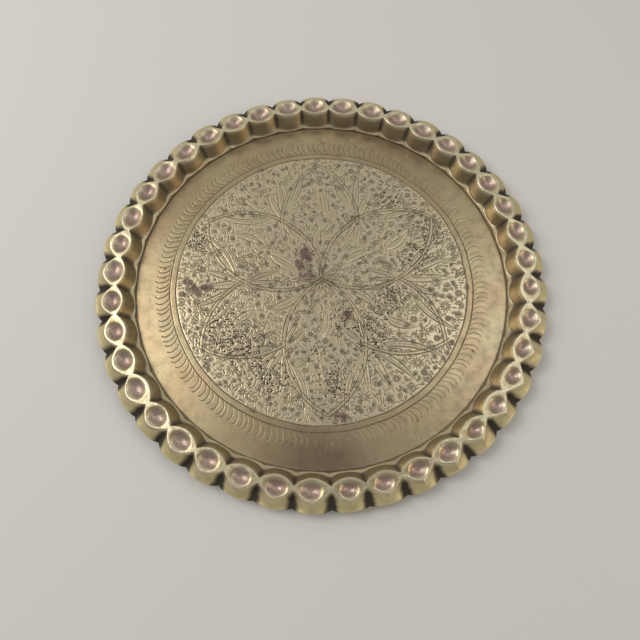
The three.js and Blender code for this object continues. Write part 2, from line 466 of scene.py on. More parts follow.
def scroll(graver, root, angle, size, hand):
    """A tendril that curls in on itself."""
    t = np.linspace(0, 1, 26)
    spin = t * 5.2 * hand
    radius = size * (1 - 0.8 * t)
    start = np.array([size, 0])
    curve = np.stack([radius * np.cos(spin), radius * np.sin(spin)], -1) - start
    graver.line(turned(curve, angle, root), 0.62, LINE)


def engraved_plan():
    """The whole engraving: depth of the cuts and the pits, the sunk ground, the proud bands."""
    dice = np.random.default_rng(SEED + 1)
    axis = (np.arange(PLAN_CELLS) + 0.5) * PLAN_STEP - PLAN_HALF
    x, y = np.meshgrid(axis, axis)
    radius = np.hypot(x, y)
    band = np.zeros_like(x, bool)
    line = np.zeros_like(x)
    arc_radius = (PETAL_HALF_LENGTH**2 + PETAL_HALF_WIDTH**2) / (2 * PETAL_HALF_WIDTH)
    for k in range(PETALS):
        a = math.radians(30 + 60 * k + dice.normal(0, 0.6))
        wobble = dice.normal(0, 1.2, 2)
        along = x * math.cos(a) + y * math.sin(a) - PETAL_HALF_LENGTH
        aside = -x * math.sin(a) + y * math.cos(a)
        for side in (-1, 1):
            off = arc_radius - PETAL_HALF_WIDTH
            away = np.abs(np.hypot(along, aside + side * off + wobble[0] * 0.3) - arc_radius)
            on_side = (aside * side > -BAND_HALF) & (np.abs(along) < PETAL_HALF_LENGTH + 1.5)
            if k % 2:
                on_side &= radius > NODE_RADIUS - 3
            band |= on_side & (away < BAND_HALF + 0.3)
            edge = np.clip(1 - (np.abs(away - BAND_HALF) / 0.62) ** 2, 0, None) * on_side
            line = np.maximum(line, edge * (LINE + 0.05))
    wave = 0.5 * np.sin(9 * np.arctan2(y, x) + 0.6) + 0.35 * np.sin(23 * np.arctan2(y, x))
    for at, width, depth in ((RING_INNER, 0.75, DEEP), (RING_OUTER, 0.65, LINE + 0.06)):
        groove = 1 - ((radius + wave * 0.6 - at) / width) ** 2
        line = np.maximum(line, depth * np.clip(groove, 0, None))
    band |= radius > RING_INNER
    graver = Graver()
    rows, columns = np.nonzero(band[::COARSE, ::COARSE])
    graver.taken[rows, columns] = True

    # The star in the middle, and fans of leaves from the places where the petals cross.
    for i in range(STAR_LEAVES):
        a = 2 * math.pi * i / STAR_LEAVES + dice.normal(0, 0.05)
        leaf(graver, (0, -1.3), a, dice.uniform(17, 34), 3.4)
    for k in range(PETALS):
        a = math.radians(60 * k + dice.normal(0, 1))
        node = at_polar(NODE_RADIUS, a)
        for i in (0, -1, 1, -2, 2):
            turn = a + i * FAN_TURN + dice.normal(0, 0.05)
            room = (RING_INNER - NODE_RADIUS) / max(0.76, math.cos(i * FAN_TURN))
            reach = dice.uniform(0.62, 0.95) * room
            root = node + at_polar(4 + 5 * abs(i), turn)
            leaf(graver, root, turn + 0.05 * i, reach - 12, 7.5 + (i == 0) * 3, 0.12 * i, 6)
        for i in range(-1, 2):
            turn = a + math.pi + i * 0.3
            leaf(graver, node + at_polar(5, turn), turn, dice.uniform(30, 48), 5.5, 0.1 * i, 2)
        spread = RING_INNER * 0.86
        for side in (-1, 1):
            spot = at_polar(spread, a + side * dice.uniform(0.2, 0.27))
            rosette(graver, spot, dice.uniform(7, 9.5), 11, dice.uniform(0, 1))
            graver.claim(*spot, 5)

    # What fills each petal: two large leaves, tendrils on both sides of them, and daisies.
    for k in range(PETALS):
        a = math.radians(30 + 60 * k)
        leaf(graver, at_polar(38, a + 0.1), a - 0.12, 46, 11, 0.16, 6)
        leaf(graver, at_polar(96, a - 0.08), a + 0.16, 44, 10, -0.18, 6)
        for radius_at, side in ((58, 1), (70, -1), (88, 1), (104, -1), (122, 1), (138, -1)):
            reach = 13 + 8 * math.sin(math.pi * radius_at / 180)
            root = at_polar(radius_at, a) + at_polar(reach * 0.7, a + side * math.pi / 2)
            scroll(graver, root, a + dice.uniform(-0.6, 0.6), dice.uniform(4.5, 7), side)
        for radius_at, aside in ((80, 0.24), (112, -0.22), (128, 0.16), (150, -0.02)):
            spot = at_polar(radius_at, a + aside)
            rosette(graver, spot, dice.uniform(5.5, 8), 9, dice.uniform(0, 1))
            graver.claim(*spot, 4)

    # Over the ground that is left: nested curls, daisies, fans of strokes, pairs of small leaves.
    for gx in np.arange(-RING_INNER, RING_INNER, FILL_PITCH):
        for gy in np.arange(-RING_INNER, RING_INNER, FILL_PITCH):
            spot = np.array([gx, gy]) + dice.uniform(-2.4, 2.4, 2)
            kind, turn = dice.uniform(0, 1), dice.uniform(0, 2 * math.pi)
            size = dice.uniform(2.7, 4.0)
            if np.hypot(*spot) > RING_INNER - 5 or not graver.is_free(*spot):
                continue
            if kind < 0.42:
                hand = 1 if dice.uniform() < 0.5 else -1
                t = np.linspace(0, 1, 14)
                for i in range(4):
                    around = turn + (0.5 + 1.9 * t) * hand
                    reach = size * (0.5 + 0.42 * i) * (1 + 0.25 * t)
                    arc = np.stack([reach * np.cos(around), reach * np.sin(around)], -1) + spot
                    graver.line(arc, 0.8, LINE * (0.8 + 0.12 * i))
            elif kind < 0.49:
                for i in range(9):
                    a = turn + 2 * math.pi * i / 9
                    dash = [spot + at_polar(size * 0.3, a), spot + at_polar(size * 1.5, a)]
                    graver.line(dash, 0.9, DEEP)
            elif kind < 0.8:
                for i in range(5):
                    a = turn + 0.38 * (i - 2)
                    start = spot - at_polar(4, turn)
                    tip = start + at_polar(7.5 - abs(i - 2), a + 0.12 * (i - 2))
                    graver.line([start + at_polar(2, a), tip], 0.85, LINE)
            else:
                for i in (-1, 1):
                    leaf(graver, spot - at_polar(5, turn), turn + 0.42 * i, 11, 4.0, 0.16 * i)

    # Between them: short bent strokes that lie along a flow.
    grid = np.arange(-RING_INNER, RING_INNER, STROKE_PITCH)
    for gx in grid:
        for gy in grid:
            px, py = np.array([gx, gy]) + dice.uniform(-1.2, 1.2, 2)
            kind, turn = dice.uniform(0, 1), dice.uniform(0, 2 * math.pi)
            size = dice.uniform(1.5, 2.9)
            if math.hypot(px, py) > RING_INNER - 2.2 or not graver.is_free(px, py):
                continue
            flow = 1.6 * math.sin(px / 23 + 1.1 * math.sin(py / 31)) + 1.3 * math.cos(py / 19)
            sweep = np.linspace(-1, 1, 6)
            curve = np.stack([size * sweep, (0.5 - kind) * size * sweep**2], -1)
            curve = turned(curve, flow + 0.14 * turn, (px, py))
            graver.line(curve, 0.85, LINE * dice.uniform(0.6, 1.2), claims=False)

    # The border: crescents that lean on one another, each with a hook at its outer end.
    for i in range(BORDER_STROKES):
        a = 2 * math.pi * (i + dice.normal(0, 0.1)) / BORDER_STROKES
        t = np.linspace(0, 1, 18)
        reach = BORDER_INNER + (BORDER_OUTER - BORDER_INNER + dice.normal(0, 0.7)) * t**1.5
        sweep = (5.6 + dice.normal(0, 0.5)) * np.sin(1.95 * t) - 15 * np.clip(t - 0.88, 0, None)
        where = a + sweep / reach
        curve = np.stack([reach * np.cos(where), reach * np.sin(where)], -1)
        strength = 0.6 - 0.34 * math.cos(a + 0.5) + dice.normal(0, 0.1)
        graver.line(curve, 0.66, LINE * max(0.3, strength), tapered=False, claims=False)

    graver.spare_on(band)
    plan = line.copy()
    graver.sink(plan)

    # Punched pits between the strokes, deep and dark in some quarters and worn in others.
    pits = Graver()
    count = int(2 * RING_INNER / PUNCH_PITCH)
    seats = (np.arange(count) - count / 2) * PUNCH_PITCH
    px = seats[None, :] + dice.uniform(-1, 1, (count, count))
    py = seats[:, None] + dice.uniform(-1, 1, (count, count))
    weight = punch_weight(px, py)
    column = ((px + PLAN_HALF) / PLAN_STEP).astype(int).clip(0, PLAN_CELLS - 1)
    row = ((py + PLAN_HALF) / PLAN_STEP).astype(int).clip(0, PLAN_CELLS - 1)
    good = (plan[row, column] < 0.12) & ~band[row, column] & (np.hypot(px, py) < RING_INNER - 2)
    good &= dice.uniform(0, 1, px.shape) < 0.08 + 0.92 * weight
    depth = (0.16 + 0.12 * dice.uniform(0, 1, px.shape) + 0.46 * weight)[good]
    size = dice.uniform(0.7, 1.35, px.shape)[good]
    heading = dice.uniform(0, math.pi, px.shape)[good]
    for step in (-0.9, 0, 0.9):
        at_x, at_y = px[good] + step * np.cos(heading), py[good] + step * np.sin(heading)
        struck = np.stack([at_x, at_y], -1)
        pits.cuts.append(np.concatenate([struck, np.stack([size, depth], -1)], -1))
    punched = np.zeros_like(plan)
    pits.sink(punched)

    ground = np.where(band, 0, GROUND_SUNK)
    proud = (band & (radius < RING_INNER)).astype(float)
    return plan, punched, ground, proud


# Where the ground was punched hardest: the middle of each place and how far it reaches.
PUNCHED = (
    (30, -52, 30), (54, -66, 30), (62, -92, 26), (-168, 66, 24), (-130, -70, 40),
    (-70, -128, 34), (12, -140, 30), (-16, -100, 14), (128, 26, 28), (86, -30, 30),
    (150, 66, 26), (-96, -92, 34), (96, 120, 24),
)


def punch_weight(x, y):
    """How hard the ground was punched, from 0 to 1."""
    weight = np.zeros_like(x)
    for px, py, reach in PUNCHED:
        away = (x - px) ** 2 + (y - py) ** 2
        weight = np.maximum(weight, np.exp(-away / (2 * (reach * 0.6) ** 2)))
    return weight


# Blots of tarnish on the floor: where, how far each reaches, and how strong it is.
BLOTS = (
    (-22, 36, 13, 1.0), (-24, 22, 13, 0.8), (-20, 4, 11, 0.9), (-4, 42, 8, 0.6),
    (-166, -11, 12, 1.0), (-150, -8, 8, 0.8), (-178, -2, 8, 0.7), (31, -51, 8, 0.9),
    (17, -181, 9, 1.0), (-90, 8, 7, 0.8), (-158, 68, 9, 0.6), (-95, -68, 12, 0.5),
    (-110, -85, 16, 0.4), (-80, 30, 7, 0.5), (-30, 120, 12, 0.3), (-25, 95, 8, 0.5),
    (60, -96, 14, 0.3), (111, -210, 4.5, 1.0), (104, -204, 2.5, 0.9), (109, -189, 2.2, 0.9),
    (188, -104, 3.2, 0.9), (184, -120, 2.2, 0.8), (195, -137, 2.0, 0.9), (-82, 215, 2.2, 0.9),
    (-30, 214, 2.4, 0.9), (8, 220, 3.0, 0.9), (15, 211, 2.6, 0.6), (-173, 117, 3.0, 0.8),
    (-208, 22, 3.0, 0.9), (132, 158, 2.4, 0.8), (-157, 180, 3.2, 0.8), (63, -206, 2.0, 0.8),
    (-40, 168, 3.0, 0.7), (165, -130, 1.8, 0.7), (-222, 100, 2.4, 0.6),
)

SEATS = 312  # faces along each side of a quarter of the disc
ENGRAVED_RADIUS = 222.0


def sample_plan(plan, x, y):
    """The plan between its cells."""
    column = np.clip((x + PLAN_HALF) / PLAN_STEP - 0.5, 0, PLAN_CELLS - 1.001)
    row = np.clip((y + PLAN_HALF) / PLAN_STEP - 0.5, 0, PLAN_CELLS - 1.001)
    c, r = column.astype(int), row.astype(int)
    fc, fr = column - c, row - r
    left = plan[r, c] * (1 - fr) + plan[r + 1, c] * fr
    right = plan[r, c + 1] * (1 - fr) + plan[r + 1, c + 1] * fr
    return left * (1 - fc) + right * fc


def sag(x, y):
    """The floor is beaten flat by hand, so it is a little uneven; it is true under the rim."""
    wave = np.sin(x / 31 + 1.3) * np.cos(y / 43 - 0.4) + 0.6 * np.sin((x + y) / 23 + 2.0)
    wave += 0.5 * np.cos((x - 1.7 * y) / 57)
    fade = np.clip((240 - np.hypot(x, y)) / 25, 0, 1)
    return 0.11 * (wave + 2.1) * fade


def disc_quarter(index, plans, material):
    plan, punched, ground, proud = plans
    side_x, side_y = (1, -1, -1, 1)[index], (1, 1, -1, -1)[index]
    bm, (u, v) = unit_grid(SEATS, SEATS)
    u, v = side_x * u, side_y * v
    x = ENGRAVED_RADIUS * u * np.sqrt(1 - v**2 / 2)
    y = ENGRAVED_RADIUS * v * np.sqrt(1 - u**2 / 2)
    cut = sample_plan(plan, x, y)
    pit = sample_plan(punched, x, y)
    base = sample_plan(ground, x, y)
    place(bm, np.stack([x, y, FACE - base - cut - pit + sag(x, y)], -1))
    for face in bm.faces:
        face.smooth = True
    rim = [edge for edge in bm.edges if edge.is_boundary]
    walls = bmesh.ops.extrude_edge_only(bm, edges=rim)["geom"]
    for item in walls:
        if isinstance(item, bmesh.types.BMVert):
            item.co.z = 0
        elif isinstance(item, bmesh.types.BMFace):
            item.smooth = False
    for edge in rim:
        edge.smooth = False
    bottom = [edge for edge in bm.edges if edge.is_boundary]
    bmesh.ops.holes_fill(bm, edges=bottom, sides=0)
    bmesh.ops.recalc_face_normals(bm, faces=bm.faces)
    mesh = as_mesh(bm, "engraved_quarter_%d" % (index + 1))
    x, y, z = places(mesh)
    top = z > 0.01
    paint(mesh, "cut", np.clip(sample_plan(plan, x, y) / 0.36, 0, 1) * top)
    paint(mesh, "pit", np.clip(sample_plan(punched, x, y) / 0.5, 0, 1) * top)
    paint(mesh, "ground", sample_plan(ground, x, y) / GROUND_SUNK * top)
    paint(mesh, "proud", sample_plan(proud, x, y) * top)
    paint(mesh, "blot", blots(x, y) * top)
    paint(mesh, "film", films(x, y) * top)
    return finish_piece(mesh.name, mesh, material, "tray", ["engraved_disc"])


def blots(x, y):
    value = np.zeros_like(x)
    for bx, by, reach, strength in BLOTS:
        spread = reach * (1.25 if reach > 5 else 0.85)
        value = np.maximum(value, strength * np.exp(-((x - bx) ** 2 + (y - by) ** 2) / spread**2))
    return value


# Broad brown films: where the tray was held and wiped least.
FILMS = (
    (-25, -232, 62, 1.0), (20, -238, 40, 0.5), (118, 212, 46, 0.7), (60, 235, 50, 0.6),
    (-60, 236, 44, 0.5), (160, 176, 40, 0.5), (-16, 26, 42, 0.45), (-150, 5, 40, 0.35),
    (40, -120, 60, 0.25), (-110, -90, 45, 0.3),
)


def films(x, y):
    value = np.zeros_like(x)
    for fx, fy, reach, strength in FILMS:
        value += strength * np.exp(-((x - fx) ** 2 + (y - fy) ** 2) / (reach * 0.8) ** 2)
    return np.clip(value, 0, 1)


def disc_edge(material):
    """The plain outer part of the disc, which carries the rim's foot."""
    around, across = 4 * LOBES * 3, 26
    inner, outer = ENGRAVED_RADIUS, DISC_RADIUS
    bm, (u, v) = unit_grid(around, 2 * across + 2)
    angle = 2 * math.pi * u
    step = np.round(v * (2 * across + 2)).astype(int)
    level = np.where(step <= across, step, np.maximum(2 * across + 1 - step, 0))
    radius = inner + (outer - inner) * level / across
    radius = np.where(step == 2 * across + 2, inner, radius)
    x, y = radius * np.cos(angle), radius * np.sin(angle)
    over = (step <= across) | (step == 2 * across + 2)
    z = np.where(over, FACE + sag(x, y), 0)
    place(bm, np.stack([x, y, z], -1))
    bmesh.ops.remove_doubles(bm, verts=bm.verts, dist=0.01 * MM)
    bmesh.ops.recalc_face_normals(bm, faces=bm.faces)
    for face in bm.faces:
        face.smooth = abs(face.normal.z) > 0.5
    for edge in bm.edges:
        if len(edge.link_faces) == 2 and edge.calc_face_angle(0) > 0.7:
            edge.smooth = False
    mesh = as_mesh(bm, "disc_edge")
    x, y, z = places(mesh)
    # Along the rim's foot the disc is darkened through its pit value: partly grime, partly a
    # painted shade of the gap under the foot's edge.
    from_foot = (np.hypot(x, y) - (NECK_RADIUS - WALL_IN - LEDGE)) / 1.3
    paint(mesh, "pit", 0.62 * np.exp(-(from_foot**2)) * (z > 0.01))
    for name in ("cut", "ground", "proud"):
        paint(mesh, name, np.zeros_like(x))
    paint(mesh, "film", films(x, y) * (z > 0.01))
    paint(mesh, "blot", blots(x, y) * (z > 0.01))
    return finish_piece("disc_edge", mesh, material, "tray", ["engraved_disc"])


# ------------------------ the hanger

STRAP_SHEET, STRAP_WIDTH, STRAP_HALF = 1.2, 7.0, 7.94
STRAP_BEVEL = 0.28
HUMP = 2.393  # inside radius of the strap's hump over the ring's wire
WALL_LEAN = math.radians(15.98)
WIRE = 1.5  # the ring wire's radius
RING_RADIUS = 11.0
HINGE = Vector(frame["joints"][0]["pos_m"])


def at_hinge(bm, tilt):
    """Turns a shape made at the hinge, and moves it there."""
    bmesh.ops.transform(bm, matrix=Matrix.Scale(MM, 4), verts=bm.verts)
    bmesh.ops.rotate(bm, cent=(0, 0, 0), matrix=Matrix.Rotation(-tilt, 3, "X"), verts=bm.verts)
    bmesh.ops.translate(bm, vec=HINGE, verts=bm.verts)


def mesh_of(bm, name):
    bmesh.ops.recalc_face_normals(bm, faces=bm.faces)
    for face in bm.faces:
        face.smooth = True
    return as_mesh(bm, name)


def strap(material):
    """A strip of sheet bent over the ring's wire, with a flat foot above and below the hump."""
    arc = [math.radians(a) for a in range(-90, 91, 9)]
    outer, face = HUMP + STRAP_SHEET, STRAP_SHEET - HUMP
    outline = [(-HUMP, -STRAP_HALF), (face, -STRAP_HALF), (face, -outer)]
    outline += [(outer * math.cos(a), outer * math.sin(a)) for a in arc]
    outline += [(face, outer), (face, STRAP_HALF), (-HUMP, STRAP_HALF), (-HUMP, HUMP)]
    outline += [(HUMP * math.cos(a), HUMP * math.sin(a)) for a in reversed(arc)]
    outline += [(-HUMP, -HUMP)]
    bm = bmesh.new()
    side = bm.faces.new([bm.verts.new((-STRAP_WIDTH / 2, out, up)) for out, up in outline])
    grown = bmesh.ops.extrude_face_region(bm, geom=[side])["geom"]
    moved = [item for item in grown if isinstance(item, bmesh.types.BMVert)]
    bmesh.ops.translate(bm, vec=(STRAP_WIDTH, 0, 0), verts=moved)
    bmesh.ops.recalc_face_normals(bm, faces=bm.faces)
    sharp = [edge for edge in bm.edges if edge.calc_face_angle(0) > 0.5]
    bmesh.ops.bevel(
        bm, geom=sharp, offset=STRAP_BEVEL, segments=3, profile=0.5, affect="EDGES", material=-1,
        clamp_overlap=True,
    )
    at_hinge(bm, WALL_LEAN)
    mesh = mesh_of(bm, "bent_strap")
    return finish_piece("bent_strap", mesh, material, "tray", ["hanger_strap"])


def solder(index, side, material):
    """Soft solder that has run out round a foot of the strap, over the wall's back."""
    bm = bmesh.new()
    bmesh.ops.create_uvsphere(bm, u_segments=40, v_segments=24, radius=1)
    for vertex in bm.verts:
        x, y, z = vertex.co
        turn = math.atan2(z, x)
        run = 1 + 0.09 * math.sin(3 * turn + 1.7 * side) + 0.06 * math.sin(5 * turn + index)
        vertex.co = Vector((x * 4.5 * run, y * 0.62, z * 2.5 * run))
    bmesh.ops.translate(bm, vec=(0, -HUMP + 0.05, side * (STRAP_HALF - 2.1)), verts=bm.verts)
    at_hinge(bm, WALL_LEAN)
    name = "solder_run_%d" % (index + 1)
    return finish_piece(name, mesh_of(bm, name), material, "tray")


def ring(material):
    """A ring of round wire, closed with a butt joint that shows as a fine groove."""
    droop = math.asin((HINGE.z / MM - WIRE - 0.2) / (2 * RING_RADIUS))
    bm = bmesh.new()
    wire = bmesh.ops.create_circle(bm, segments=24, radius=WIRE)["verts"]
    bmesh.ops.rotate(bm, cent=(0, 0, 0), matrix=Matrix.Rotation(math.pi / 2, 3, "X"), verts=wire)
    bmesh.ops.translate(bm, vec=(RING_RADIUS, 0, 0), verts=wire)
    bmesh.ops.spin(
        bm, geom=bm.verts[:] + bm.edges[:], cent=(0, 0, 0), axis=(0, 0, 1),
        angle=2 * math.pi, steps=180,
        use_merge=True,
    )
    bmesh.ops.remove_doubles(bm, verts=bm.verts, dist=0.002)
    for vertex in bm.verts:
        turn = math.atan2(vertex.co.y, vertex.co.x)
        middle = Vector((RING_RADIUS * math.cos(turn), RING_RADIUS * math.sin(turn), 0))
        joint = math.exp(-(((turn - 0.5) * RING_RADIUS / 0.3) ** 2))
        wear_and_highlight = math.exp(-(((turn + math.pi / 2) / 0.3) ** 2))
        shrink = 1 - 0.2 * joint - 0.04 * wear_and_highlight - 0.012 * (1 + math.sin(9 * turn))
        vertex.co = middle + (vertex.co - middle) * shrink
    bmesh.ops.translate(bm, vec=(0, RING_RADIUS, 0), verts=bm.verts)
    at_hinge(bm, droop)
    mesh = mesh_of(bm, "wire_ring")
    return finish_piece("wire_ring", mesh, material, "ring", ["hanging_ring"])


# ------------------------ materials


def linear(hex_colour):
    """An sRGB hex colour as the linear colour that a shader takes."""
    channels = [int(hex_colour[i : i + 2], 16) / 255 for i in (1, 3, 5)]
    return [c / 12.92 if c <= 0.04045 else ((c + 0.055) / 1.055) ** 2.4 for c in channels] + [1.0]


def add(tree, kind, inputs, output=0, **settings):
    """Adds a node with its settings, fills or links its inputs, and gives back one output."""
    node = tree.nodes.new(kind)
    for name, value in settings.items():
        setattr(node, name, value)
    for socket, value in inputs.items():
        if isinstance(value, bpy.types.NodeSocket):
            tree.links.new(value, node.inputs[socket])
        else:
            hex_colour = isinstance(value, str)
            node.inputs[socket].default_value = linear(value) if hex_colour else value
    return node.outputs[output] if node.outputs else node


def new_material(name):
    material = bpy.data.materials.new(name)
    material.use_nodes = True
    material.node_tree.nodes.clear()
    return material, material.node_tree


NOISE, MATH, STEP, MIX = (
    "ShaderNodeTexNoise", "ShaderNodeMath", "ShaderNodeMapRange", "ShaderNodeMix",
)
ATTRIBUTE, PLACE, BUMP, SHADER, SURFACE = (
    "ShaderNodeAttribute", "ShaderNodeTexCoord", "ShaderNodeBump", "ShaderNodeBsdfPrincipled",
    "ShaderNodeOutputMaterial",
)
# A mix of colours takes its share at input 0 and the colours at 6 and 7. A smooth step takes its
# value at 0 and its two ends at 1 and 2.
COLOUR = {"data_type": "RGBA", "output": 2}
SMOOTH = {"interpolation_type": "SMOOTHSTEP"}
TIMES, PLUS, LESS = {"operation": "MULTIPLY"}, {"operation": "ADD"}, {"operation": "SUBTRACT"}
SCALED, LARGER, SIZE = (
    {"operation": "MULTIPLY_ADD"}, {"operation": "MAXIMUM"}, {"operation": "ABSOLUTE"},
)


def aged_disc():
    """Engraved sheet brass: an olive-tan film, grime left in the cuts, purple-brown blots."""
    material, tree = new_material("aged_engraved_brass")
    place_on = add(tree, PLACE, {}, "Object")
    cut, pit, ground, proud, blot, held = (
        add(tree, ATTRIBUTE, {}, "Fac", attribute_name=name)
        for name in ("cut", "pit", "ground", "proud", "blot", "film")
    )
    # Broad changes of the film's colour, its patches, and its grain, each with its real size.
    broad, patchy, grain = (
        add(
            tree, NOISE,
            {"Vector": place_on, "Scale": 1 / (size * MM), "Detail": fine, "Roughness": r},
        )
        for size, fine, r in ((70, 4, 0.55), (13, 5, 0.62), (1.3, 3, 0.55))
    )
    # Brown films where hands held it.
    uneven = add(tree, MATH, {0: patchy, 1: 0.8, 2: 0.35}, **SCALED)
    held = add(tree, MATH, {0: held, 1: uneven}, **TIMES)
    # Blots of tarnish with ragged edges.
    ragged = add(tree, MATH, {0: patchy, 1: 3.0, 2: -2.25}, **SCALED)
    ragged = add(tree, MATH, {0: grain, 1: 1.5, 2: ragged}, **SCALED)
    eaten = add(tree, MATH, {0: blot, 1: ragged}, **PLUS)
    eaten = add(tree, STEP, {0: eaten, 1: 0.3, 2: 1.1}, **SMOOTH)
    near = add(tree, STEP, {0: blot, 1: 0.02, 2: 0.3}, **SMOOTH)
    tarnished = add(tree, MATH, {0: eaten, 1: near}, **TIMES)
    pinker = add(tree, STEP, {0: broad, 1: 0.36, 2: 0.64}, **SMOOTH)
    darker = add(tree, STEP, {0: patchy, 1: 0.42, 2: 0.72}, **SMOOTH)
    specks = add(tree, STEP, {0: grain, 1: 0.5, 2: 0.75}, **SMOOTH)
    pits_and_foot_shade = add(tree, STEP, {0: pit, 1: 0.1, 2: 0.8}, **SMOOTH)
    colour = add(tree, MIX, {0: pinker, 6: "#cabc96", 7: "#c6b08b"}, **COLOUR)
    # Each film over the ones before: where it lies, how strong it is, and its colour. The ground is
    # rubbed lighter, and the bands that stand proud lighter still, partly from wear and partly as a
    # painted highlight. The cuts are full of grime. Along the rim's foot the near-black of the pits
    # is also a painted shade.
    for share, strength, film in (
        (darker, 0.45, "#9a8c78"), (held, 0.8, "#85695a"), (ground, 0.7, "#efe2c1"),
        (proud, 0.5, "#ebdfbc"), (specks, 0.25, "#857661"), (cut, 0.86, "#3e3226"),
        (pits_and_foot_shade, 0.92, "#1c1510"), (tarnished, 0.78, "#5e4246"),
    ):
        share = add(tree, MATH, {0: share, 1: strength}, **TIMES)
        colour = add(tree, MIX, {0: share, 6: colour, 7: film}, **COLOUR)
    # Grime and tarnish are duller and less metallic than the rubbed metal.
    dulled = add(tree, MATH, {0: cut, 1: pit}, **LARGER)
    dulled = add(tree, MATH, {0: dulled, 1: tarnished}, **LARGER)
    rough = add(tree, MATH, {0: patchy, 1: 0.22, 2: 0.24}, **SCALED)
    rough = add(tree, MATH, {0: dulled, 1: 0.3, 2: rough}, **SCALED)
    bright = add(tree, MATH, {0: dulled, 1: -0.65, 2: 0.95}, **SCALED)
    # Fine wiping scratches, drawn a little coarser than real ones so that they show.
    wiped = {"Vector": place_on, "Rotation": (0, 0, 0.6), "Scale": (1, 22, 1)}
    wiped = add(tree, "ShaderNodeMapping", wiped)
    scratch = {"Vector": wiped, "Scale": 1 / (24 * MM), "Detail": 2, "Roughness": 0.55}
    scratch = add(tree, NOISE, scratch)
    scratch = add(tree, MATH, {0: scratch, 1: 0.12}, **TIMES)
    height = add(tree, MATH, {0: patchy, 1: 0.5, 2: scratch}, **SCALED)
    bump = add(tree, BUMP, {"Height": height, "Strength": 0.35, "Distance": 1.2 * MM})
    finish = {"Base Color": colour, "Metallic": bright, "Roughness": rough, "Normal": bump}
    add(tree, SURFACE, {"Surface": add(tree, SHADER, finish)})
    return material


